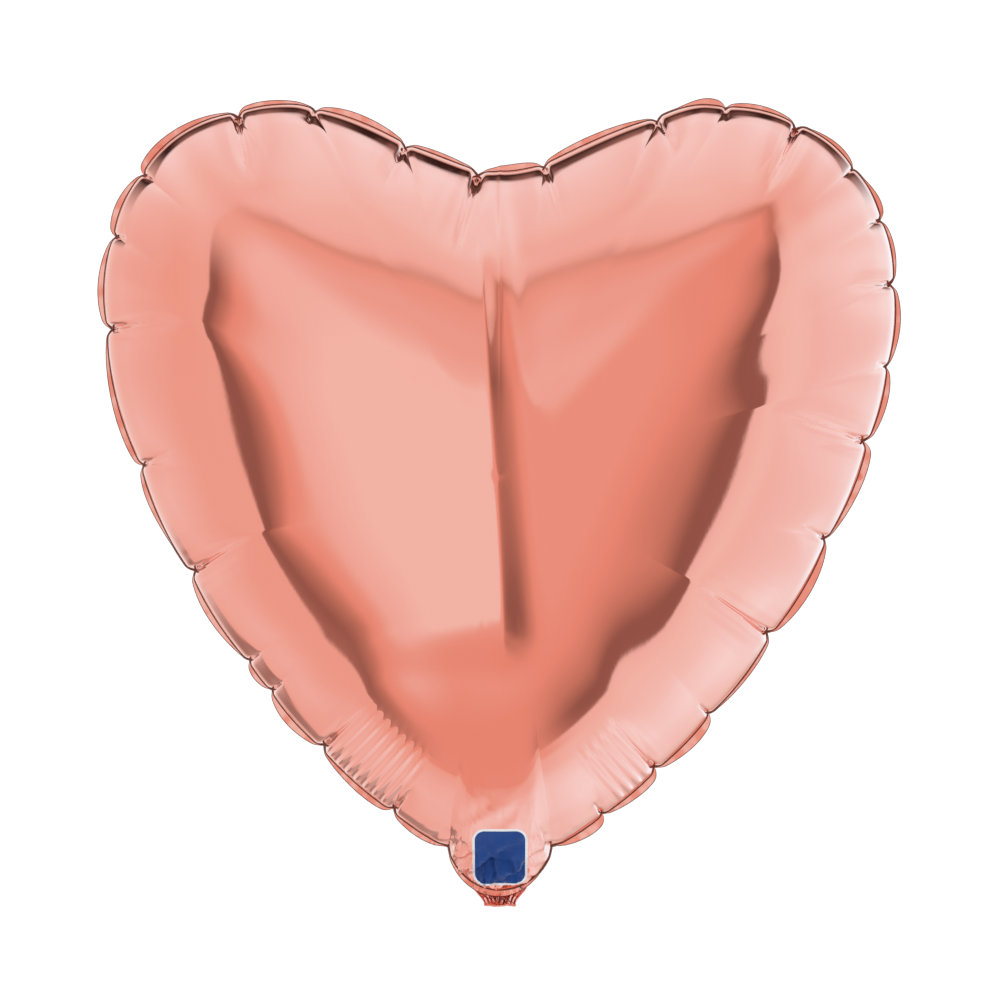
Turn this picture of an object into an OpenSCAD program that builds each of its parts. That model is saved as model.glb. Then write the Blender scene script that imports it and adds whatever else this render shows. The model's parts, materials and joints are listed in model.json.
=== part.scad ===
// Heart-shaped foil balloon, inflated, with its welded rim, its neck flap, the inner
// self-sealing valve and the flat filling tail that is folded up behind the neck.
// Millimetres. X right, Z up, the front panel faces -Y, the seam lies in the plane Y = 0.
// The origin is the middle of the fold under the neck, which is also the tail's hinge line.

/* [Balloon] */
// Width of the inflated heart across both lobes
heart_w = 380; // [340:5:420]
// Height of the inflated heart from the neck fold to the top of the lobes
heart_h = 380; // [340:5:420]
// Thickness of the inflated heart from front to back
heart_d = 190; // [150:5:220]
// Wall of the two panels, a stand-in for a film of a few hundredths of a millimetre
film = 0.8; // [0.6:0.1:1.2]
// How much the gathered film flattens the body at the neck
neck_taper = 0.65; // [0:0.05:0.75]

/* [Puckers] */
// Greatest rise of a pillow between two puckers of the rim
pillow = 4.5; // [0:0.5:8]
// Rise of the fold line that runs down both panels from the cleft
fold_line = 6; // [0:0.5:12]
// Height above the neck at which the fold line ends
fold_end = 108; // [60:2:200]

/* [Rim] */
// Width of the flat welded flange outside the inflated part
seal_w = 4; // [2:0.5:8]
// Width of the weld that lies under the panels' rims
weld_w = 4; // [2:0.5:8]
// Thickness of the welded flange
seal_t = 0.8; // [0.4:0.1:1.2]
// Height of the lower edge of the neck flap above the tail's fold
flap_z = 2.2; // [2:0.1:4]

/* [Valve] */
// Width of the inner valve sleeve
valve_w = 28; // [20:1:36]
// Length of the inner valve sleeve
valve_l = 82; // [50:1:110]
// Thickness of each valve film
valve_t = 0.4; // [0.3:0.1:0.6]

/* [Tail] */
// Width of the filling tail
tail_w = 26; // [20:1:32]
// Length of the filling tail from its fold to its rounded end
tail_l = 48; // [36:1:56]
// Thickness of each tail ply
ply_t = 0.6; // [0.4:0.1:0.8]
// Gap between the two tail plies, filled along the edges by the weld
ply_gap = 0.6; // [0.4:0.1:0.8]
// Width of the weld around the tail's edge
tail_weld = 3; // [2:0.5:5]
// Radius of the rolled fold that the tail turns on
fold_r = 1.0; // [0.8:0.1:1.4]
// Angle by which the tail is folded up behind, from hanging straight down
fold_angle = 124; // [0:1:126]
// Radius of the filling hole in the tail's outer ply
port_r = 3.5; // [2.5:0.5:5]
// Distance of the filling hole from the fold
port_z = 33; // [24:1:38]

/* [Hidden] */
$fn = 64;

foil = [0.87, 0.55, 0.49];
clear_film = [0.86, 0.84, 0.82];
sx = heart_w / 380;
sz = heart_h / 380;
mid = [0, 200 * sz];            // where the rows of each panel meet
lap = 8;                        // length of the outline's parameter, cleft to cleft
least_reach = 14;               // shortest reach that the coarse rows can still show

// Fold line: its X at its lower end and at the cleft, the two slopes beside it, and the
// heights over which it dies out at the bottom and below the cleft.
fold_x = [1.5, -9];
fold_slopes = [60, 13];
fold_fade = 24;
cleft_fade = [250, 360];
cleft_z = 333;

// Inner valve: lower end of its films, their upper end, and the welded tongue that holds them.
valve_z = [22, 14 + valve_l];
tongue_z = [9, 30];

// Half of the inflated outline as cubic curves: lobe top, lobe side, flank, neck.
curves = [
    [[0, 349], [19, 346], [71, 380], [97, 380]],
    [[97, 380], [150, 380], [190, 348], [190, 284]],
    [[190, 284], [190, 198], [116, 74], [27, 26]],
    [[27, 26], [23, 14], [13, 3.5], [0, 3.5]]
];

// Puckers: place along the outline and how far each reaches in from the seam.
right_puckers = [[0.24, 33], [0.73, 22], [1.06, 12], [1.31, 40], [1.57, 12], [1.77, 12],
    [1.96, 22], [2.12, 12], [2.245, 50], [2.4, 16], [2.555, 47], [2.695, 12], [2.805, 39],
    [2.91, 12], [3.12, 15]];
left_puckers = [[0.13, 45], [0.463, 26], [0.865, 12], [1.183, 40], [1.593, 12], [1.823, 12],
    [2.055, 44], [2.283, 19], [2.453, 39], [2.6, 12], [2.76, 34], [2.9, 20], [3, 12]];
n_left = len(left_puckers);
puckers = concat(right_puckers,
    [for (i = [n_left - 1 : -1 : 0]) [lap - left_puckers[i][0], left_puckers[i][1]]]);
n_puckers = len(puckers);

// Columns inside each pillow and rows from the seam (0) to the middle of the panel (1).
steps = [0, 0.13, 0.5, 0.87];
rows = [0, 0.012, 0.035, 0.07, 0.115, 0.17, 0.24, 0.33, 0.45, 0.6, 0.78];
columns = [for (i = [0 : n_puckers - 1]) for (f = steps) [i, f]];
n_cols = len(columns);
n_rows = len(rows);

function lerp(a, b, t) = a + (b - a) * t;
function unit(v) = v / norm(v);
function ramp(t) = let (c = max(0, min(1, t))) c * c * (3 - 2 * c);
function bezier(p, t) = let (s = 1 - t)
    s * s * s * p[0] + 3 * s * s * t * p[1] + 3 * s * t * t * p[2] + t * t * t * p[3];
function wrap(u) = u < 0 ? u + lap : u >= lap ? u - lap : u;

// Point of the smooth outline; u runs 0..4 down the right side and 4..8 up the left side.
function outline(u) = let (
    w = wrap(u), m = w < 4 ? w : lap - w, k = min(3, floor(m)), p = bezier(curves[k], m - k)
) [(w < 4 ? 1 : -1) * p[0] * sx, p[1] * sz];
function outward(u) = let (t = unit(outline(u + 0.01) - outline(u - 0.01))) [-t[1], t[0]];

// A column's place: outline parameter, pillow height 0..1, pillow size, pucker reach.
function next_u(i) = i < n_puckers - 1 ? puckers[i + 1][0] : puckers[0][0] + lap;
function col_u(c) = lerp(puckers[c[0]][0], next_u(c[0]), c[1]);
function col_rise(c) = sqrt(1 - pow(abs(2 * c[1] - 1), 2.4));
function col_size(c) = min(pillow,
    0.1 * norm(outline(next_u(c[0])) - outline(puckers[c[0]][0])));
function col_reach(c) = max(least_reach,
    lerp(puckers[c[0]][1], puckers[(c[0] + 1) % n_puckers][1], ramp(c[1])));

// Rim line of the inflated part, before the pillows rise from it.
function rim(c) = let (u = col_u(c)) outline(u) - outward(u) * (seal_w + 0.8 * col_size(c));

function profile(r) = sqrt(1 - pow(r, 2.9));
// The fold line stands proud: it rises gently on one side and drops steeply on the other.
function line_x(z) = sx * lerp(fold_x[0], fold_x[1], ramp((z / sz - fold_end) / (cleft_z - fold_end)));
function fold_rise(x, z, side) = let (d = side * (line_x(z) - x) / sx)
    fold_line * ramp((z / sz - fold_end) / fold_fade)
    * (1 - ramp((z / sz - cleft_fade[0]) / (cleft_fade[1] - cleft_fade[0])))
    * exp(d < 0 ? d / fold_slopes[0] : -d / fold_slopes[1]);

// One point of a panel. side is -1 for the front and 1 for the back; inset is 0 or film.
function panel_point(c, v, side, inset) = let (
    r = 1 - v,
    p = mid + (rim(c) - mid) * r,
    out = outward(col_u(c)),
    lean = r * r,
    away = v * norm(rim(c) - mid),
    fade = pow(max(0, 1 - away / (1.5 * col_reach(c))), 1.5),
    rise = col_size(c) * col_rise(c) * fade - inset,
    neck = 1 - neck_taper * exp(-max(0, p[1] - 8) / 28),
    deep = (heart_d / 2 - fold_line) * profile(r) * neck
        + fold_rise(p[0], p[1], side) * ramp(v / 0.2),
    flat = sqrt(1 - lean * lean)
) [p[0] + out[0] * lean * rise, side * (seal_t / 2 + deep + flat * rise), p[1] + out[1] * lean * rise];

// Closed shell of one panel: outer skin, inner skin and the narrow ring along the seam.
module panel(side) {
    grid = [for (inset = [0, film]) for (v = rows) for (c = columns) panel_point(c, v, side, inset)];
    tips = [for (inset = [0, film])
        [mid[0], side * (seal_t / 2 + heart_d / 2 - fold_line
            + fold_rise(mid[0], mid[1], side) - inset), mid[1]]];
    n = n_rows * n_cols;
    last = (n_rows - 1) * n_cols;
    skin = [for (r = [0 : n_rows - 2]) for (j = [0 : n_cols - 1])
        let (a = r * n_cols + j, b = r * n_cols + (j + 1) % n_cols)
        each [[a, b, b + n_cols], [a, b + n_cols, a + n_cols]]];
    cap = [for (j = [0 : n_cols - 1]) [last + j, last + (j + 1) % n_cols, 2 * n]];
    inner = [for (f = skin) [f[2] + n, f[1] + n, f[0] + n]];
    inner_cap = [for (j = [0 : n_cols - 1]) [last + n + (j + 1) % n_cols, last + n + j, 2 * n + 1]];
    ring = [for (j = [0 : n_cols - 1]) let (k = (j + 1) % n_cols)
        each [[j, j + n, k + n], [j, k + n, k]]];
    faces = concat(skin, cap, inner, inner_cap, ring);
    polyhedron(concat(grid, tips),
        side < 0 ? [for (f = faces) [f[2], f[1], f[0]]] : faces, convexity = 8);
}

// A flat sheet of film in the seam plane, from y0 to y1.
module sheet(y0, y1) {
    translate([0, y1, 0]) rotate([90, 0, 0]) linear_extrude(height = y1 - y0) children();
}

// Rim line moved outwards by d, following the pillows.
module rim_shape(d) {
    polygon([for (c = columns) rim(c) + outward(col_u(c)) * (col_size(c) * col_rise(c) + d)]);
}

module valve_shape() {
    translate([-valve_w / 2, valve_z[0]]) square([valve_w, valve_z[1] - valve_z[0]]);
}

module tail_shape(inset) {
    r = tail_w / 2 - inset;
    translate([-r, -tail_l + tail_w / 2]) square([2 * r, tail_l - tail_w / 2 - fold_r - 0.2 - inset]);
    translate([0, -tail_l + tail_w / 2]) circle(r);
}

module front_panel() {
    color(foil) panel(-1);
}

module back_panel() {
    color(foil) panel(1);
}

// Welded flange all round, the flap below the neck and the tongue that holds the valve.
module seal_band() {
    color(foil) {
        difference() {
            union() {
                sheet(-seal_t / 2, seal_t / 2) rim_shape(seal_w);
                translate([-tail_w / 2, -seal_t / 2, flap_z]) cube([tail_w, seal_t, 8]);
            }
            sheet(-seal_t, seal_t) rim_shape(-weld_w);
        }
        translate([-valve_w / 2, -seal_t / 2, tongue_z[0]])
            cube([valve_w, seal_t, tongue_z[1] - tongue_z[0]]);
    }
}

module valve_front_film() {
    color(clear_film) sheet(-seal_t / 2 - valve_t, -seal_t / 2) valve_shape();
}

// The back film carries the two side welds that close the sleeve.
module valve_back_film() {
    color(clear_film) {
        sheet(seal_t / 2, seal_t / 2 + valve_t) valve_shape();
        sheet(-seal_t / 2, seal_t / 2 + valve_t / 2) for (s = [-1, 1])
            translate([s * (valve_w / 2 - 1) - 1, tongue_z[1]])
                square([2, valve_z[1] - tongue_z[1]]);
    }
}

// The tail is drawn hanging straight down and then folded up behind the neck.
module folded() {
    rotate([fold_angle, 0, 0]) children();
}

module tail_front_ply() {
    color(foil) folded() difference() {
        sheet(-ply_gap / 2 - ply_t, -ply_gap / 2) tail_shape(0);
        translate([0, -ply_gap / 2 - ply_t / 2, -port_z]) rotate([90, 0, 0])
            cylinder(r = port_r, h = 2 * ply_t, center = true);
    }
}

// The back ply carries the edge weld and the rolled fold.
module tail_back_ply() {
    color(foil) folded() {
        sheet(ply_gap / 2, ply_gap / 2 + ply_t) tail_shape(0);
        sheet(-ply_gap / 2, ply_gap / 2 + ply_t / 2) difference() {
            tail_shape(0);
            tail_shape(tail_weld);
        }
        translate([-tail_w / 2, -ply_gap / 2, -fold_r - 0.4])
            cube([tail_w, ply_gap, fold_r + 0.4]);
        translate([-tail_w / 2, 0, 0]) rotate([0, 90, 0]) cylinder(r = fold_r, h = tail_w);
    }
}

// Lower end of the valve, lying on the inside of the back ply.
module tail_valve_film() {
    color(clear_film) folded() sheet(ply_gap / 2 - 0.25, ply_gap / 2)
        translate([-8, -tail_l + 8]) square([16, tail_l - 16]);
}

front_panel();
back_panel();
seal_band();
valve_front_film();
valve_back_film();
tail_front_ply();
tail_back_ply();
tail_valve_film();
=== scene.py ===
import json
import math
import bpy
import numpy as np
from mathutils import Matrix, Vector


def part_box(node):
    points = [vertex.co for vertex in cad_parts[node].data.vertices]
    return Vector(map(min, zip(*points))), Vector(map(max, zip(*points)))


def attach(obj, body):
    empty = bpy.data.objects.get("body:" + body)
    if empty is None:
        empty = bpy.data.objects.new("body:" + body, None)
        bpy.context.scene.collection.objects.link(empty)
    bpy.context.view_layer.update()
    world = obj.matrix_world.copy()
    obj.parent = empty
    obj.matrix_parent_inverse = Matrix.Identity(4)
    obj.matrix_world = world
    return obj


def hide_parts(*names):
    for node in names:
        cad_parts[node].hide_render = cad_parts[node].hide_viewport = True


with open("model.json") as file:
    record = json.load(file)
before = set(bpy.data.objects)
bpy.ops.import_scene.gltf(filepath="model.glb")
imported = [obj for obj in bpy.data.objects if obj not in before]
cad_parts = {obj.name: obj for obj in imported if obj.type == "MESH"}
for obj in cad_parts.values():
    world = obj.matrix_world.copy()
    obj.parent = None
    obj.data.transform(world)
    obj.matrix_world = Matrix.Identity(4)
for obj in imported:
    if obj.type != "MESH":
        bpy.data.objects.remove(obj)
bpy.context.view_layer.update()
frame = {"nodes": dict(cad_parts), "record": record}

# ---------------------------------------------------------------- sizes, in millimetres
HALF, HEIGHT, DEPTH = 190.0, 380.0, 190.0
CLEFT = 349.0                        # height of the cleft between the lobes
LOBE = 97.0                          # from the middle to the top of a lobe
WIDEST = 284.0                       # height of the widest place
NECK = [29.0, 23.0]                  # corner where the flank meets the neck, in X and Z
NECK_FOOT = 2.5                      # height of the neck's lower end
MID = np.array([0.0, 200.0])         # where the rows of a panel meet, in X and Z
FLANGE = 4.2                         # welded flange outside the inflated part
FOLD = 5.2                           # rise of the fold line from the cleft
FOLD_END, FOLD_TOP = 108.0, 275.0    # heights where it ends and where it starts to fade upwards
GENTLE_WIDE, STEEP_WIDE = 46.0, 13.0     # widths of its gentle and its steep side
WELD_IN = 1.4                        # weld line of the puffed film, inside the flange
LAP = 8.0                            # outline parameter, cleft to cleft
PLEATS_RIGHT = (511.0, 538.0)        # finely pleated stretches, along the outline from the cleft
PLEATS_LEFT = (497.0, 541.0)         # the same on the left, along the outline the other way
PLEAT_WAVE = 5.6
LONG_REACH = 20.0                    # puckers longer than this have faint waves beside them
NECK_CREASES, NECK_CRUMPLE = 22, 4.4
TAIL_WIDTH, TAIL_LENGTH = 26.0, 48.0
TAIL_GAP = 1.5                       # least room between the neck and the middle of the folded tail
VALVE_ROOM = 0.42                    # from the middle of the tail to its inner ply, over the valve film
port = next(m for m in frame["record"]["mounts"] if m["name"] == "inflation_port")
tail_out = np.array(port["axis"])     # square to the folded tail, away from the balloon

# Right half of the outline, from the cleft to the neck: four curves of four points each
CURVES = np.array([
    [[0, CLEFT], [19, 346], [71, HEIGHT], [LOBE, HEIGHT]],
    [[LOBE, HEIGHT], [150, HEIGHT], [HALF, 348], [HALF, WIDEST]],
    [[HALF, WIDEST], [HALF, 198], [114, 72], NECK],
    [NECK, [23, 10], [13, NECK_FOOT], [0, NECK_FOOT]]])

# Puckers: outline parameter, reach in from the seam, sharpness 0..1. Their places follow the
# photographed balloon, and no two balloons have the same.
RIGHT = [(0.24, 34, 0.6), (0.73, 24, 0.8), (1.06, 10, 0.35), (1.31, 42, 1.0), (1.57, 9, 0.3),
         (1.77, 10, 0.5), (1.96, 26, 0.8), (2.12, 8, 0.4), (2.245, 52, 1.0), (2.4, 16, 0.6),
         (2.555, 48, 1.0), (2.695, 9, 0.4), (2.805, 40, 0.9), (2.91, 10, 0.5), (3.0, 15, 0.6)]
LEFT = [(0.13, 48, 1.0), (0.463, 28, 0.8), (0.865, 11, 0.5), (1.183, 40, 1.0), (1.593, 9, 0.5),
        (1.823, 9, 0.6), (2.055, 46, 1.0), (2.283, 20, 0.6), (2.453, 40, 1.0), (2.6, 9, 0.5),
        (2.652, 9, 0.5), (2.76, 35, 1.0), (2.9, 20, 0.9), (3.0, 12, 0.6)]
PUCKERS = RIGHT + [(LAP - u, reach, sharp) for u, reach, sharp in LEFT[::-1]]

# Inner edge of the puffed rim: outline parameter and the rim's width there. It runs straight
# from one corner to the next down the flanks, and in a smooth arc over each lobe.
RIM_RIGHT = [(0.0, 53), (0.3, 58), (0.7, 60), (1.1, 50), (1.31, 43), (1.72, 50), (2.05, 57),
             (2.245, 52), (2.555, 47), (2.805, 42), (2.91, 35)]
RIM_LEFT = [(0.14, 46), (0.43, 54), (0.74, 58), (1.02, 50), (1.183, 46), (1.58, 44), (2.055, 44),
            (2.453, 38), (2.76, 33), (2.9, 26)]
RIM = RIM_RIGHT + [(LAP / 2, 47)] + [(LAP - u, width) for u, width in RIM_LEFT[::-1]]
EDGE_RHO = 0.72                      # share of the inflated profile's radius at the rim's inner edge


# ---------------------------------------------------------------- outline
def ramp(t):
    """0 before 0, 1 after 1, and smooth between."""
    t = np.clip(t, 0.0, 1.0)
    return t * t * (3.0 - 2.0 * t)


def outline_at(u):
    """X and Z at outline parameter u: 0 at the cleft, 4 at the neck, then up the left half."""
    u = np.mod(np.asarray(u, float), LAP)
    m = np.where(u < LAP / 2, u, LAP - u)
    k = np.minimum(len(CURVES) - 1, np.floor(m)).astype(int)
    t = (m - k)[:, None]
    p = CURVES[k]
    q = ((1 - t) ** 3 * p[:, 0] + 3 * (1 - t) ** 2 * t * p[:, 1]
         + 3 * (1 - t) * t * t * p[:, 2] + t ** 3 * p[:, 3])
    q[:, 0] *= np.where(u < LAP / 2, 1.0, -1.0)
    return q


U_FINE = np.linspace(0.0, LAP, 8001)
P_FINE = outline_at(np.minimum(U_FINE, LAP - 1e-9))
S_FINE = np.r_[0.0, np.cumsum(np.linalg.norm(np.diff(P_FINE, axis=0), axis=1))]
LENGTH = S_FINE[-1]
pucker_s = np.interp([p[0] for p in PUCKERS], U_FINE, S_FINE)
pucker_reach = np.array([p[1] for p in PUCKERS], float)
pucker_sharp = np.array([p[2] for p in PUCKERS], float)


def point(s):
    """X and Z at a length s along the outline, from the cleft down the right side."""
    return outline_at(np.interp(np.mod(s, LENGTH), S_FINE, U_FINE))


def outward(s):
    """Unit direction square to the outline, away from the balloon."""
    t = point(s + 2.5) - point(s - 2.5)
    t /= np.linalg.norm(t, axis=1)[:, None]
    return np.stack([-t[:, 1], t[:, 0]], 1)


def gap(s, where):
    """Signed distance along the outline from where to s, the short way round."""
    return np.mod(s - where + LENGTH / 2, LENGTH) - LENGTH / 2


def interval(s, knots):
    """For each s: the knots on either side of it and its fraction between them."""
    knots = np.sort(knots)
    i = np.searchsorted(knots, s, side="right") - 1
    lo = knots[i]
    hi = knots[(i + 1) % len(knots)]
    span = np.mod(hi - lo, LENGTH)
    return lo, hi, np.mod(s - lo, LENGTH) / span, span


def at_neck(s):
    """1 round the neck, 0 from 150 mm along the outline on either side."""
    return ramp((150.0 - np.abs(s - LENGTH / 2)) / 60.0)


def pleats(s):
    """Weight of the fine pleats: a stretch low down on each side."""
    def band(a, b, soft):
        return ramp((s - a) / soft) * ramp((b - s) / soft)
    left = band(LENGTH - PLEATS_LEFT[1], LENGTH - PLEATS_LEFT[0], 5.0)
    return left + 0.8 * band(*PLEATS_RIGHT, 6.0)


def columns(count):
    """Places along the outline: closer together at the puckers, the fine pleats and the neck."""
    s = np.linspace(0.0, LENGTH, 20001)
    weight = np.ones_like(s)
    for where, sharp in zip(pucker_s, pucker_sharp):
        weight += (2.0 + 3.0 * sharp) * np.exp(-np.abs(gap(s, where)) / 4.0)
    weight += 3.0 * pleats(s) + 3.0 * np.exp(-np.abs(s - LENGTH / 2) / 30.0)
    total = np.r_[0.0, np.cumsum((weight[1:] + weight[:-1]) / 2)]
    return np.interp(np.arange(count) * total[-1] / count, total, s)


# ---------------------------------------------------------------- inflated film
def seam(s):
    """Smooth weld line, how far it bows out between puckers and is pulled in at them."""
    lo, hi, f, span = interval(s, pucker_s)
    bow = (1.9 - 0.9 * at_neck(s)) * np.minimum(1.0, span / 55.0) * (4 * f * (1 - f)) ** 0.75
    notch = np.zeros_like(s)
    for where, sharp in zip(pucker_s, pucker_sharp):
        t = np.abs(gap(s, where)) / (2.6 + 2.2 * sharp)
        notch += 2.0 * sharp * np.clip(1 - t, 0, None) ** 2.0
    out = outward(s)
    return point(s) - out * (FLANGE + WELD_IN), bow, notch, out


def over_lobes(s):
    """1 round the upper half, 0 down the flanks."""
    return ramp((270.0 - s) / 70.0) + ramp((s - (LENGTH - 270.0)) / 70.0)


def blurred(values, half):
    """A closed row of values, averaged over a window that is half wide to each side."""
    kernel = np.hanning(2 * half + 1)
    ring = np.r_[values[-half - 1:-1], values, values[1:half + 1]]
    return np.convolve(ring, kernel / kernel.sum(), "valid")


def bearing(v):
    """Angle of each offset from MID, clockwise from straight up."""
    return np.mod(np.arctan2(v[:, 0], v[:, 1]), 2 * math.pi)


def smoothed(values, angle, half):
    """The same average, taken over equal steps of bearing."""
    turn = np.linspace(0.0, 2 * math.pi, 2001)
    steps = blurred(np.interp(turn, angle, values, period=2 * math.pi), half)
    return np.interp(angle, turn, steps, period=2 * math.pi)


def stretch():
    """For each place s: the exponents that put the rim's inner edge in its place."""
    s = np.linspace(0.0, LENGTH, 4001)
    weld = seam(np.mod(s, LENGTH))[0] - MID
    angle, far = bearing(weld), np.hypot(weld[:, 0], weld[:, 1])
    knots = np.interp([u for u, width in RIM], U_FINE, S_FINE)
    edge, bow, notch, out = seam(knots)
    corner = edge - out * np.array([width for u, width in RIM], float)[:, None] - MID
    rim_edge = np.stack([np.interp(s, knots, corner[:, i], period=LENGTH) for i in (0, 1)], 1)
    turn = bearing(rim_edge)
    share = np.hypot(rim_edge[:, 0], rim_edge[:, 1]) / np.interp(turn, angle, far, period=2 * math.pi)
    share = np.interp(angle, turn, share, period=2 * math.pi)
    power = math.log(EDGE_RHO) / np.log(share)
    lobes = over_lobes(s)
    power += (np.clip(power, 0.88, 1.12) - power) * lobes
    power += (blurred(power, 200) - power) * lobes
    neck = at_neck(s)
    power += (smoothed(power, angle, 150) - power) * neck
    even = 1 + (far / smoothed(far, angle, 130) - 1) * neck
    return s, power, smoothed(power, angle, 200), EDGE_RHO ** (1 / power), even


S_EDGE, POWER, POWER_SOFT, SHARE_EDGE, EVEN = stretch()


def foot(p, s):
    """The place on the seam that lies square to each point, and the distance to it."""
    dense = np.linspace(0.0, LENGTH, 4001)
    weld, bow, notch, out = seam(np.mod(dense, LENGTH))
    along = np.stack([out[:, 1], -out[:, 0]], 1)
    s = np.broadcast_to(s, p.shape[:2]).copy()

    def look(values):
        return np.interp(s, dense, values, period=LENGTH)
    for step in range(6):
        off = ((p[..., 0] - look(weld[:, 0])) * look(along[:, 0])
               + (p[..., 1] - look(weld[:, 1])) * look(along[:, 1]))
        s += 0.85 * off
    return s, np.hypot(p[..., 0] - look(weld[:, 0]), p[..., 1] - look(weld[:, 1]))


def crumple(x, z, rng):
    """Sharp-edged facets: folded waves that warp one another."""
    out = np.zeros_like(x)
    px, pz = x.copy(), z.copy()
    for k in range(7):
        a = rng.uniform(0, math.pi)
        size = 13.0 / (1.0 + 0.45 * k)
        q = (px * math.cos(a) + pz * math.sin(a)) / size + rng.uniform(0, 1)
        tri = np.abs(q - np.floor(q) - 0.5) * 2 - 0.5
        out += tri * size * 0.11
        px = px + tri * size * 0.25 * math.cos(a + 1.3)
        pz = pz + tri * size * 0.25 * math.sin(a + 1.3)
    return out


def row_places(rows):
    """Rows crowd together at the seam, and a little at the middle."""
    v = np.linspace(0.0, 1.0, 4001)
    weight = 1 / (0.004 + 0.045 * v) + 1 / (0.012 + 0.12 * (1 - v))
    total = np.r_[0.0, np.cumsum((weight[1:] + weight[:-1]) / 2)]
    return np.interp(np.arange(rows) * total[-1] / rows, total, v)


def profile_radius(share, s):
    """Radius of the round profile, 1 at the seam, for a share of the way from the middle to it."""
    share = share * (1 + (np.interp(s, S_EDGE, EVEN)[None] - 1) * ramp((1 - share) / 0.4))
    rim, soft, share_edge = (np.interp(s, S_EDGE, a)[None] for a in (POWER, POWER_SOFT, SHARE_EDGE))
    inside = 1 + (soft - 1) * ramp((share - 0.1) / 0.4)
    return share, share ** (inside + (rim - inside) * ramp((share - share_edge + 0.2) / 0.2))


def fold_rise(x, z, side):
    """Fold line from the cleft: it rises gently on one side and drops steeply on the other."""
    line = 1.5 - 10.5 * ramp((z - FOLD_END) / 225.0)
    dx = (x - line) * (1 if side < 0 else -1)
    off = np.sqrt(dx ** 2 + 0.5) - math.sqrt(0.5)
    steep = np.log1p(np.exp((STEEP_WIDE - off) / 2.8)) / math.log1p(math.exp(STEEP_WIDE / 2.8))
    flank = np.where(dx < 0, np.exp(-off / GENTLE_WIDE), steep)
    return FOLD * ramp((z - FOLD_END) / 26.0) * (1 - ramp((z - FOLD_TOP) / 80.0)) * flank


def pucker_relief(square, away):
    """A sharp pinch at the seam for each pucker, which thins to a fine line."""
    h = np.zeros_like(away)
    for where, reach, sharp in zip(pucker_s, pucker_reach, pucker_sharp):
        sway = gap(square, where) + 0.03 * away * math.sin(where * 1.7)
        left = np.clip(1 - away / reach, 0, 1)
        pinch = 2.6 * sharp * np.exp(-away / (3.0 + 3.0 * sharp)) + 1.5 * sharp * left ** 0.5
        wide = 1.3 + (0.5 + 1.6 * sharp) * left ** 3
        h -= 1.9 * sharp * np.exp(-np.abs(sway) / 9.0) * ramp(left * 2) * ramp(away / 8.0)
        h -= pinch * np.clip(1 - np.abs(sway) / wide, 0, None) ** 1.6 * ramp(left * 3)
        if reach > LONG_REACH:
            # faint waves beside the long ones
            h += (0.16 * sharp * np.cos(2 * math.pi * sway / 6.2 + 1.0)
                  * np.exp(-np.abs(sway) / 6.5) * ramp(left * 1.6) * ramp(away / 5.0))
    return h


def pleat_relief(square, away):
    """Even fine waves across the seam, in the pleated stretches."""
    return (0.75 * pleats(square) * np.cos(2 * math.pi * square / PLEAT_WAVE)
            * (1 - ramp((away - 22.0) / 14.0)) * ramp(away / 3.0))


def neck_relief(x, z, away, rng):
    """Creases that fan up from the neck, and crumpled film at its end."""
    h = np.zeros_like(x)
    ang = np.arctan2(x, z + 10.0)
    rad = np.hypot(x, z - 4.0)
    for k in range(NECK_CREASES):
        centre = rng.uniform(-1.0, 1.0)
        wide = rng.uniform(0.025, 0.07)
        h -= (rng.uniform(0.5, 1.5) * np.exp(-np.abs(ang - centre) / wide)
              * np.exp(-np.clip(rad - 16, 0, None) / rng.uniform(6, 20)) * ramp(away / 2.0))
    return h + NECK_CRUMPLE * crumple(x, z, rng) * np.exp(-(rad / 25.0) ** 2) * ramp(away / 1.5)


def under_tail(x, z, deep):
    """The tail folds flat over the neck on either face: the film stays under its plane there."""
    room = (-tail_out[2] * z - TAIL_GAP) / tail_out[1]
    under = (1 - ramp((np.abs(x) - TAIL_WIDTH / 2 - 1.5) / 6.0)) * (1 - ramp((z - 29.0) / 8.0))
    return deep - under * 0.4 * np.logaddexp(0.0, (deep - room) / 0.4)


def panel(side, cols, rows, seed):
    """Grid of points for one panel; rows run from the seam to the middle."""
    s = columns(cols)
    edge, bow, notch, out = seam(s)
    v = row_places(rows)
    p = MID + (edge - MID)[None] * (1 - v)[:, None, None]
    square, away = foot(p, s)
    share, r = profile_radius(np.broadcast_to((1 - v)[:, None], p.shape[:2]), s)

    shift = bow[None] * (1 - ramp(away / 34.0)) - notch[None] * np.exp(-away / 5.0)
    p = p + out[None] * shift[..., None]
    x, z = p[..., 0], p[..., 1]
    neck = 1 - 0.65 * np.exp(-np.clip(z - 8.0, 0, None) / 28.0)
    depth = (DEPTH / 2 - FOLD) * np.sqrt(1 - r ** 2.9) * neck
    depth += fold_rise(x, z, side) * ramp((1 - share) / 0.2)

    # the relief stands square to the film: sideways near the seam, forwards near the middle
    h = pucker_relief(square, away) + pleat_relief(square, away)
    h += neck_relief(x, z, away, np.random.default_rng(seed))
    lean = r * r
    face = np.sqrt(np.clip(1 - lean ** 2, 0, 1))
    sideways = out[None] * (lean * h * ramp(away / 1.5))[..., None]
    z = z + sideways[..., 1]
    deep = under_tail(x, z, 0.25 + depth + face * h)
    return np.stack([x + sideways[..., 0], side * deep, z], -1) / 1000.0


def make(name, verts, faces):
    """A smooth mesh object from points in metres."""
    mesh = bpy.data.meshes.new(name)
    mesh.from_pydata([tuple(map(float, v)) for v in verts], [], [tuple(map(int, f)) for f in faces])
    mesh.update()
    mesh.shade_smooth()
    piece = bpy.data.objects.new(name, mesh)
    bpy.context.scene.collection.objects.link(piece)
    return piece


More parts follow.
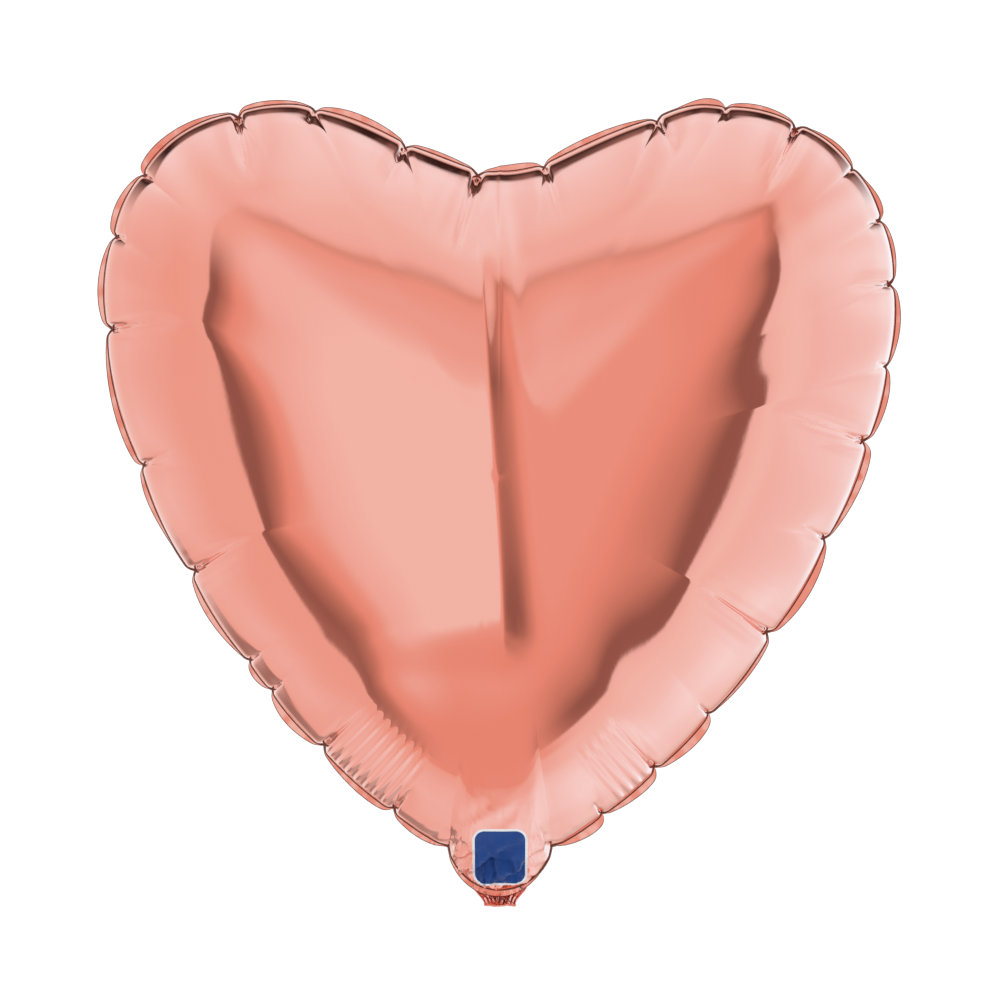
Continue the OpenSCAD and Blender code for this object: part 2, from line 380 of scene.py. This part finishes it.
def ring_faces(rows, cols, flip):
    """Faces of a grid whose rows close into rings."""
    faces = []
    for i in range(rows - 1):
        for j in range(cols):
            a, b = i * cols + j, i * cols + (j + 1) % cols
            f = (a, b, b + cols, a + cols)
            faces.append(f[::-1] if flip else f)
    return faces


def build_panel(name, side, seed):
    """Front (side -1) or back (side 1) sheet of film, closed in the middle by a fan of faces."""
    cols, rows = ((2200, 56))
    grid = panel(side, cols, rows, seed)
    verts = list(grid.reshape(-1, 3))
    top = grid[-1].mean(0)
    top[0], top[2] = MID[0] / 1000, MID[1] / 1000
    verts.append(top)
    faces = ring_faces(rows, cols, side > 0)
    last = (rows - 1) * cols
    for j in range(cols):
        f = (last + j, last + (j + 1) % cols, rows * cols)
        faces.append(f[::-1] if side > 0 else f)
    return make(name, verts, faces)


front = build_panel("front_foil", -1, 3)
back = build_panel("back_foil", 1, 4)


# ---------------------------------------------------------------- welded flange
def build_flange():
    """The weld round the heart: a leaf of film in each interval between two puckers."""
    cols, rows = ((2000, 8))
    s = columns(cols)
    edge, bow, notch, out = seam(s)
    edge = edge + out * (bow - notch)[:, None]
    lo, hi, f, span = interval(s, pucker_s)
    # each leaf has its own tilt, size and peak
    rng = np.random.default_rng(8)
    tilt = {round(k, 3): rng.uniform(-1, 1) for k in pucker_s}
    size = {round(k, 3): rng.uniform(0.35, 0.95) for k in pucker_s}
    lean = np.array([tilt[round(k, 3)] for k in lo])
    peak = 0.5 + 0.3 * lean
    f = f ** (math.log(0.5) / np.log(peak))
    leaf = np.clip(4 * f * (1 - f), 0, 1) ** 0.8
    wide = FLANGE * (0.12 + np.array([size[round(k, 3)] for k in lo]) * leaf)
    wide += 1.6 * np.exp(-(gap(s, LENGTH / 2) / 16.0) ** 2)
    ripple = 0.3 * np.sin(s * 0.37 + 2 * np.sin(s * 0.05)) + 0.15 * np.sin(s * 0.9)
    crush = crumple(edge[:, 0], edge[:, 1], np.random.default_rng(21))
    crush = crush * np.exp(-(np.hypot(edge[:, 0], edge[:, 1] - 4.0) / 30.0) ** 2)
    verts = []
    for i in range(rows):
        # a row under the film, the weld's inner line, even rows to the cut edge
        t = np.clip((i - 2) / (rows - 4), 0, 1)
        d = (-0.6, 0.0)[i] if i < 2 else 0.55 + t * np.maximum(wide - 1.0, 0.05)
        if i == rows - 1:
            d = d + 0.35
        part = np.clip(d / FLANGE, 0, 1)
        wave = part * ((0.3 + 0.9 * lean) * leaf + ripple)
        fx, fz = edge[:, 0] + out[:, 0] * d, edge[:, 1] + out[:, 1] * d
        verts.append(np.stack([fx, wave + 1.6 * part * crush, fz], 1) / 1000.0)
    piece = make("rim_flange", np.vstack(verts), ring_faces(rows, cols, False))
    # the strips at the weld's inner line and at the cut edge take the second material, a dark colour that
    # is painted shade in the weld's crease and a painted dark outline along the cut edge
    strip = np.repeat(np.arange(rows - 1), cols)
    painted_shade_strip = ((strip == 1) | (strip == rows - 2)).astype(np.int32)
    piece.data.polygons.foreach_set("material_index", painted_shade_strip)
    thick = piece.modifiers.new("thick", "SOLIDIFY")
    thick.thickness = 0.0003
    thick.offset = 0
    return piece


flange = build_flange()


# ---------------------------------------------------------------- filling tail
def ply_faces(across, length, base, flip, keep):
    """Faces of one ply's grid of points, but not where keep is false."""
    faces = []
    for i in range(length - 1):
        for j in range(across - 1):
            a = base + i * across + j
            f = (a, a + 1, a + across + 1, a + across)
            if keep[i, j]:
                faces.append(f[::-1] if flip else f)
    return faces


def weld_faces(across, length):
    """Faces between the open edges of two plies, down one side, across the end and up again."""
    step, end = length * across, (length - 1) * across
    rim = ([(i * across, (i + 1) * across) for i in range(length - 1)]
           + [(end + j, end + j + 1) for j in range(across - 1)]
           + [((i + 2) * across - 1, (i + 1) * across - 1) for i in range(length - 1)]
           + [(j + 1, j) for j in range(across - 1)])
    return [(a, b, b + step, a + step) for a, b in rim]


def build_tail():
    """Flat tube of film, gathered where it leaves the neck, with the filling hole in its outer ply."""
    across, length = ((131, 241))
    hole, radius = np.array(port["pos_m"]) * 1000, port["dims"]["r_mm"]
    along = np.array([0.0, -tail_out[2], tail_out[1]])
    far = float(hole @ along)
    l = np.linspace(-0.9, TAIL_LENGTH, length)[:, None] * np.ones((1, across))
    u = np.linspace(-1, 1, across)[None] * np.ones((length, 1))
    x = u * (TAIL_WIDTH / 2 - 5.5 * (1 - ramp(l / 15.0)))
    gather = 1 - ramp(l / 13.0)
    lump = crumple(x * 1.4, l, np.random.default_rng(5)) * (0.12 + 0.3 * gather)
    pleat = 0.35 * np.cos(2 * math.pi * u * 4.6 + 0.6) * gather * ramp((l + 0.9) / 2.0)
    # the plies close on each other at the sides and at the end
    end = np.clip((l - TAIL_LENGTH + 1.5) / 1.5, 0, 1)
    edge = np.sqrt(np.clip(1 - u ** 8, 0, 1)) * np.sqrt(np.clip(1 - end ** 4, 0, 1))
    # the inner ply passes outside the valve film, which lies along it
    low, high = (np.array(corner) * 1000 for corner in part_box("tail_valve_film"))
    cover = ((1 - ramp((np.abs(x) - high[0] - 0.4) / 1.2)) * ramp((l - low @ along) / 1.2 + 1.4)
             * (1 - ramp((l - high @ along - 0.4) / 1.2)))
    verts, faces = [], []
    for side in (1, -1):
        px, pl = x.copy(), l.copy()
        keep = np.ones((length - 1, across - 1), bool)
        if side > 0:
            # points next to the hole move on to its edge, and the faces inside it are left out
            r = np.hypot(px, pl - far)
            snap = np.where(np.abs(r - radius) < 0.25, radius / np.maximum(r, 0.01), 1.0)
            px, pl = px * snap, far + (pl - far) * snap
            mid_x, mid_l = ((q[:-1, :-1] + q[:-1, 1:] + q[1:, :-1] + q[1:, 1:]) / 4 for q in (px, pl))
            keep = np.hypot(mid_x, mid_l - far) >= radius
        w = side * (0.08 + 0.32 * edge) + (lump + pleat) * edge
        if side < 0:
            w -= cover * np.maximum(w + VALVE_ROOM, 0.0)
        pts = px[..., None] * np.array([1.0, 0, 0]) + pl[..., None] * along + w[..., None] * tail_out
        faces += ply_faces(across, length, len(verts) * length * across, side < 0, keep)
        verts.append(pts.reshape(-1, 3) / 1000.0)
    return make("tail_film", np.vstack(verts), faces + weld_faces(across, length))


tail = build_tail()

# ---------------------------------------------------------------- light, floor, camera
scene = bpy.context.scene
scene.view_settings.view_transform = "Standard"


def add_camera():
    """A long lens straight in front of the balloon, at the middle of its height."""
    camera = bpy.data.cameras.new("camera")
    camera.lens = 184
    camera.sensor_width = 36
    holder = bpy.data.objects.new("camera", camera)
    scene.collection.objects.link(holder)
    place, target = Vector((0, -2.4, 0.19)), Vector((0, 0, 0.19))
    holder.location = place
    holder.rotation_euler = (target - place).to_track_quat("-Z", "Y").to_euler()
    scene.camera = holder


def add_floor():
    """Plain pale floor, well below the balloon, which the foil doesn't mirror."""
    bpy.ops.mesh.primitive_plane_add(size=24, location=(0, 0, -0.55))
    floor = bpy.context.object
    floor.name = "floor"
    floor.visible_glossy = False
    mat = bpy.data.materials.new("floor")
    mat.use_nodes = True
    shader = mat.node_tree.nodes["Principled BSDF"]
    shader.inputs["Base Color"].default_value = (0.95, 0.95, 0.95, 1)
    shader.inputs["Roughness"].default_value = 0.9
    floor.data.materials.append(mat)


add_camera()
add_floor()

world = bpy.data.worlds.new("studio")
scene.world = world
world.use_nodes = True
world_nodes, world_links = world.node_tree.nodes, world.node_tree.links
world_nodes.clear()


def wnode(kind, **values):
    """A node of the world, with its settings."""
    n = world_nodes.new(kind)
    for k, val in values.items():
        setattr(n, k, val)
    return n


def wmath(op, a, b=None):
    """A sum or function of sockets or plain numbers."""
    n = wnode("ShaderNodeMath", operation=op)
    for i, q in enumerate((a, b)):
        if q is None:
            continue
        if isinstance(q, (int, float)):
            n.inputs[i].default_value = q
        else:
            world_links.new(q, n.inputs[i])
    return n.outputs[0]


def fill_ramp(value, stops):
    """A colour ramp from its stops, each a position 0..1 and a colour."""
    n = wnode("ShaderNodeValToRGB")
    e = n.color_ramp.elements
    while len(e) < len(stops):
        e.new(0.5)
    for el, (pos, col) in zip(e, stops):
        el.position = pos
        el.color = (*col, 1)
    world_links.new(value, n.inputs[0])
    return n.outputs[0]


def wramp(value, stops):
    """A colour that follows stops given in degrees; value runs 0..1 for 0..180 degrees."""
    return fill_ramp(value, [(angle / 180.0, col) for angle, col in stops])


def wsteps(value, stops):
    """A number that follows straight lines between stops; value runs -1..1, numbers 0..2."""
    share = wmath("ADD", wmath("MULTIPLY", value, 0.5), 0.5)
    return wmath("MULTIPLY", fill_ramp(share, [((pos + 1) / 2, (num / 2,) * 3) for pos, num in stops]), 2.0)


def wmix(fac, a, b):
    """From a to b as fac goes from 0 to 1; b is a socket or a plain colour."""
    n = wnode("ShaderNodeMix", data_type="RGBA")
    world_links.new(fac, n.inputs[0])
    world_links.new(a, n.inputs[6])
    if isinstance(b, tuple):
        n.inputs[7].default_value = (*b, 1)
    else:
        world_links.new(b, n.inputs[7])
    return n.outputs[2]


def wblend(fac, a, b):
    """The same for two numbers, either of which may be a socket."""
    return wmath("ADD", wmath("MULTIPLY", a, wmath("SUBTRACT", 1.0, fac)), wmath("MULTIPLY", b, fac))


def wsmooth(value, a, b):
    """0 where value is a, 1 where it is b, and smooth between."""
    n = wnode("ShaderNodeMapRange", interpolation_type="SMOOTHSTEP")
    world_links.new(value, n.inputs["Value"])
    n.inputs["From Min"].default_value = a
    n.inputs["From Max"].default_value = b
    return n.outputs[0]


# Colours of the studio as the film mirrors it, from its white lamps to its black ceiling
LAMP = (1.03, 1.42, 1.57)
WHITE = (1.01, 1.20, 1.29)
LIGHT = (0.98, 1.03, 1.02)
PALE = (0.97, 0.92, 0.91)
SOFT = (0.95, 0.83, 0.79)
ROSE = (0.94, 0.74, 0.67)
CORAL = (0.91, 0.62, 0.54)
DEEP = (0.88, 0.53, 0.44)
UMBER = (0.60, 0.36, 0.29)
DARK = (0.32, 0.19, 0.16)
NIGHT = (0.03, 0.012, 0.01)


def ring(angle, far, scale):
    """The angle, scaled near the camera's side and left as it is far behind the balloon."""
    return wblend(far, wmath("MULTIPLY", angle, scale), angle)


def surroundings(dx, dy, dz):
    """What the foil mirrors in each direction, as seen from the balloon."""
    angle = wmath("DIVIDE", wmath("ARCCOSINE", wmath("MULTIPLY", dy, -1.0)), math.pi)
    across = wmath("SQRT", wmath("ADD", wmath("MULTIPLY", dx, dx), wmath("MULTIPLY", dz, dz)))
    up = wmath("DIVIDE", dz, wmath("MAXIMUM", across, 0.001))
    far = wsmooth(angle, 75 / 180, 120 / 180)
    # the dark ring round the balloon lies further out below; this stretch brings it to 60 degrees
    scale_l = wsteps(up, [
        (-1, 0.78), (-0.62, 0.81), (-0.52, 0.91), (-0.24, 1.03), (0.03, 1.07), (0.32, 1.16),
        (0.7, 0.98), (0.9, 0.96), (0.98, 1.24), (1, 1.3)])
    scale_r = wsteps(up, [
        (-1, 0.86), (-0.65, 0.92), (-0.42, 1.09), (-0.1, 1.18), (0.1, 1.15), (0.46, 1.12),
        (0.7, 1.07), (0.84, 0.93), (0.97, 1.15), (1, 1.35)])
    ring_l, ring_r = ring(angle, far, scale_l), ring(angle, far, scale_r)
    # degrees from the camera's side and the tone there, fitted to the tones of the photograph
    sides_l = wramp(ring_l, [
        (0, PALE), (12, LIGHT), (20, LIGHT), (27, PALE), (33, SOFT), (38, CORAL), (43, DEEP),
        (48, UMBER), (55, DARK), (59.4, DARK), (60.4, ROSE), (84, ROSE), (97, SOFT), (120, PALE),
        (136, SOFT), (150, SOFT), (165, PALE)])
    above_l = wramp(ring_l, [
        (0, PALE), (15, LIGHT), (29, PALE), (37, PALE), (44, SOFT), (52, ROSE), (59.6, ROSE),
        (60.6, SOFT), (69, PALE), (82, LIGHT), (110, WHITE), (131, WHITE), (135, NIGHT),
        (148, NIGHT), (153, CORAL), (160, SOFT), (172, PALE)])
    below_l = wramp(ring_l, [
        (0, ROSE), (20, CORAL), (36, DEEP), (64, DEEP), (66, ROSE), (73, SOFT), (86, PALE),
        (108, PALE), (122, SOFT), (132, ROSE), (138, CORAL), (141, DARK), (152, DARK), (158, CORAL),
        (166, PALE)])
    sides_r = wramp(ring_r, [
        (0, CORAL), (18, CORAL), (32, DEEP), (45, UMBER), (53, DARK), (59.4, DARK), (60.4, PALE),
        (68, LIGHT), (92, WHITE), (125, LAMP), (157, LAMP), (175, LIGHT)])
    above_r = wramp(ring_r, [
        (0, CORAL), (18, CORAL), (30, DEEP), (52, DEEP), (59, UMBER), (65, ROSE), (68, SOFT),
        (80, PALE), (86, LIGHT), (100, WHITE), (122, LAMP), (131, WHITE), (135, NIGHT),
        (148, NIGHT), (153, CORAL), (160, SOFT), (172, PALE)])
    below_r = wramp(ring_r, [
        (0, CORAL), (24, CORAL), (36, DEEP), (64, DEEP), (66, SOFT), (73, PALE), (79, WHITE),
        (90, LAMP), (110, LAMP), (130, WHITE), (142, LIGHT), (150, SOFT), (155, DEEP), (159, UMBER),
        (165, CORAL), (172, PALE)])
    high = wsmooth(up, 0.35, 0.75)
    low = wblend(far, wsmooth(up, -0.72, -0.96), wsmooth(up, -0.35, -0.65))
    left = wmix(low, wmix(high, sides_l, above_l), below_l)
    right = wmix(low, wmix(high, sides_r, above_r), below_r)
    # the two halves run into each other straight above and far behind
    spread = wmath("MULTIPLY", wmath("ADD", far, wmath("MULTIPLY", low, 0.6)), 0.4)
    sideways = wmath("DIVIDE", dx, wmath("ADD", spread, 0.04))
    half = wblend(wsmooth(up, 0.8, 0.97), wsmooth(sideways, -1.0, 1.0), 0.5)
    env = wmix(half, left, right)
    # gaps between the lamps round the balloon: they set off each pillow of the rim from the next
    turn = wmath("ARCTAN2", dz, dx)
    slow = wmath("COSINE", wmath("ADD", wmath("MULTIPLY", turn, 6.0), 1.3))
    quick = wmath("COSINE", wmath("ADD", wmath("MULTIPLY", turn, 17.0), 1.0))
    gaps = wmath("ADD", wmath("MULTIPLY", wmath("ADD", slow, quick), 0.25), 0.5)
    belt = wmath("MULTIPLY", wsmooth(angle, 60 / 180, 72 / 180), wsmooth(angle, 150 / 180, 135 / 180))
    return wmix(wmath("MULTIPLY", wmath("MULTIPLY", gaps, belt), 0.36), env, CORAL)


def light_world():
    """Glossy rays meet the surroundings, and everything else an even white."""
    coords = wnode("ShaderNodeTexCoord")
    direction = wnode("ShaderNodeSeparateXYZ")
    world_links.new(coords.outputs["Generated"], direction.inputs[0])
    mirrored = wnode("ShaderNodeBackground")
    world_links.new(surroundings(*direction.outputs), mirrored.inputs["Color"])
    white = wnode("ShaderNodeBackground")
    white.inputs["Color"].default_value = (1, 1, 1, 1)
    white.inputs["Strength"].default_value = 1.1
    choose = wnode("ShaderNodeMixShader")
    world_links.new(wnode("ShaderNodeLightPath").outputs["Is Glossy Ray"], choose.inputs[0])
    world_links.new(white.outputs[0], choose.inputs[1])
    world_links.new(mirrored.outputs[0], choose.inputs[2])
    world_links.new(choose.outputs[0], wnode("ShaderNodeOutputWorld").inputs[0])


light_world()


# ---------------------------------------------------------------- materials
FOIL = (0.915, 0.44, 0.37)
# painted shade: this dark colour stands in for the shade in the weld's crease and the dark outline at the
# flange's cut edge
PAINTED_WELD_SHADE = (0.16, 0.065, 0.05)
WHITE_INK, BLUE_INK = (0.80, 0.81, 0.83), (0.0, 0.045, 0.24)
PATCH_Z = 0.024                      # height of the printed patch's middle, in metres
PATCH_HALF = (0.0072, 0.0088)        # half its width and height, without the rounded corners
PATCH_ROUND, BORDER_ROUND = 0.0045, 0.0056


def foil_material(name, base, rough, crinkle):
    """Metallised film: faint patches of tone and gloss, and a fine crinkle."""
    mat = bpy.data.materials.new(name)
    mat.use_nodes = True
    n, l = mat.node_tree.nodes, mat.node_tree.links
    b = n["Principled BSDF"]
    b.inputs["Metallic"].default_value = 1.0
    place = n.new("ShaderNodeTexCoord")
    noise = n.new("ShaderNodeTexNoise")
    noise.inputs["Scale"].default_value = 9.0
    noise.inputs["Detail"].default_value = 3.0
    l.new(place.outputs["Object"], noise.inputs["Vector"])
    tone = n.new("ShaderNodeValToRGB")
    tone.color_ramp.elements[0].color = (*[c * 0.985 for c in base], 1)
    tone.color_ramp.elements[1].color = (*base, 1)
    l.new(noise.outputs["Fac"], tone.inputs[0])
    l.new(tone.outputs[0], b.inputs["Base Color"])
    gloss = n.new("ShaderNodeMapRange")
    gloss.inputs["To Min"].default_value = rough * 0.8
    gloss.inputs["To Max"].default_value = rough * 1.25
    l.new(noise.outputs["Fac"], gloss.inputs["Value"])
    l.new(gloss.outputs[0], b.inputs["Roughness"])
    fine = n.new("ShaderNodeTexNoise")
    fine.inputs["Scale"].default_value = 320.0
    fine.inputs["Detail"].default_value = 2.0
    l.new(place.outputs["Object"], fine.inputs["Vector"])
    bump = n.new("ShaderNodeBump")
    bump.inputs["Strength"].default_value = crinkle
    bump.inputs["Distance"].default_value = 0.0002
    l.new(fine.outputs["Fac"], bump.inputs["Height"])
    l.new(bump.outputs[0], b.inputs["Normal"])
    return mat


def label(mat):
    """A plain blue patch with a white border, printed over the neck."""
    n, l = mat.node_tree.nodes, mat.node_tree.links

    def calc(op, a, b=0.0):
        m = n.new("ShaderNodeMath")
        m.operation = op
        for i, q in enumerate((a, b)):
            if isinstance(q, float):
                m.inputs[i].default_value = q
            else:
                l.new(q, m.inputs[i])
        return m.outputs[0]

    def mix(fac, a, b):
        m = n.new("ShaderNodeMixShader")
        l.new(fac, m.inputs[0])
        l.new(a, m.inputs[1])
        l.new(b, m.inputs[2])
        return m.outputs[0]

    def ink(colour, name):
        p = n.new("ShaderNodeBsdfPrincipled")
        p.name = name
        noise = n.new("ShaderNodeTexNoise")
        noise.inputs["Scale"].default_value = 700.0
        l.new(place.outputs["Object"], noise.inputs["Vector"])
        shade = n.new("ShaderNodeValToRGB")
        shade.color_ramp.elements[0].color = (*[c * 0.85 for c in colour], 1)
        shade.color_ramp.elements[1].color = (*colour, 1)
        l.new(noise.outputs["Fac"], shade.inputs[0])
        l.new(shade.outputs[0], p.inputs["Base Color"])
        p.inputs["Roughness"].default_value = 0.5
        p.inputs["Specular IOR Level"].default_value = 0.25
        return p.outputs[0]

    place = n.new("ShaderNodeTexCoord")
    split = n.new("ShaderNodeSeparateXYZ")
    l.new(place.outputs["Object"], split.inputs[0])
    across = calc("ABSOLUTE", split.outputs["X"])
    up = calc("ABSOLUTE", calc("SUBTRACT", split.outputs["Z"], PATCH_Z))
    across = calc("MAXIMUM", calc("SUBTRACT", across, PATCH_HALF[0]), 0.0)
    up = calc("MAXIMUM", calc("SUBTRACT", up, PATCH_HALF[1]), 0.0)
    off = calc("SQRT", calc("ADD", calc("MULTIPLY", across, across), calc("MULTIPLY", up, up)))
    white, blue = ink(WHITE_INK, "white_ink"), ink(BLUE_INK, "blue_ink")
    paint = mix(calc("LESS_THAN", off, PATCH_ROUND), white, blue)
    whole = mix(calc("LESS_THAN", off, BORDER_ROUND), n["Principled BSDF"].outputs[0], paint)
    l.new(whole, n["Material Output"].inputs["Surface"])


def film_material(name):
    """Clear film with a faint haze."""
    mat = bpy.data.materials.new(name)
    mat.use_nodes = True
    n, l = mat.node_tree.nodes, mat.node_tree.links
    b = n["Principled BSDF"]
    b.inputs["Transmission Weight"].default_value = 0.75
    b.inputs["IOR"].default_value = 1.12
    place = n.new("ShaderNodeTexCoord")
    haze = n.new("ShaderNodeTexNoise")
    haze.inputs["Scale"].default_value = 60.0
    haze.inputs["Detail"].default_value = 4.0
    l.new(place.outputs["Object"], haze.inputs["Vector"])
    tint = n.new("ShaderNodeValToRGB")
    tint.color_ramp.elements[0].color = (0.80, 0.79, 0.77, 1)
    tint.color_ramp.elements[1].color = (0.90, 0.90, 0.89, 1)
    l.new(haze.outputs["Fac"], tint.inputs[0])
    l.new(tint.outputs[0], b.inputs["Base Color"])
    rough = n.new("ShaderNodeMapRange")
    rough.inputs["To Min"].default_value = 0.12
    rough.inputs["To Max"].default_value = 0.3
    l.new(haze.outputs["Fac"], rough.inputs["Value"])
    l.new(rough.outputs[0], b.inputs["Roughness"])
    return mat


back_mat = foil_material("rose_foil", FOIL, 0.2, 0.03)
front_mat = foil_material("rose_printed_foil", FOIL, 0.055, 0.03)
rim_mat = foil_material("rose_rim", FOIL, 0.16, 0.35)
# painted shade for the weld's crease and the flange's cut edge
painted_weld_shade_mat = foil_material("rose_painted_weld_shade", PAINTED_WELD_SHADE, 0.3, 0.5)
tail_mat = foil_material("rose_tail", FOIL, 0.14, 0.6)
label(front_mat)
film_mat = film_material("clear_film")
front.data.materials.append(front_mat)
back.data.materials.append(back_mat)
flange.data.materials.append(rim_mat)
flange.data.materials.append(painted_weld_shade_mat)
tail.data.materials.append(tail_mat)
for name in ("tail_valve_film", "valve_front_film", "valve_back_film"):
    node = frame["nodes"][name]
    node.data.materials.clear()
    node.data.materials.append(film_mat)

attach(front, "balloon")
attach(back, "balloon")
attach(flange, "balloon")
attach(tail, "tail")
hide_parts("front_panel")
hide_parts("back_panel")
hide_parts("seal_band")
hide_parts("tail_front_ply", "tail_back_ply")
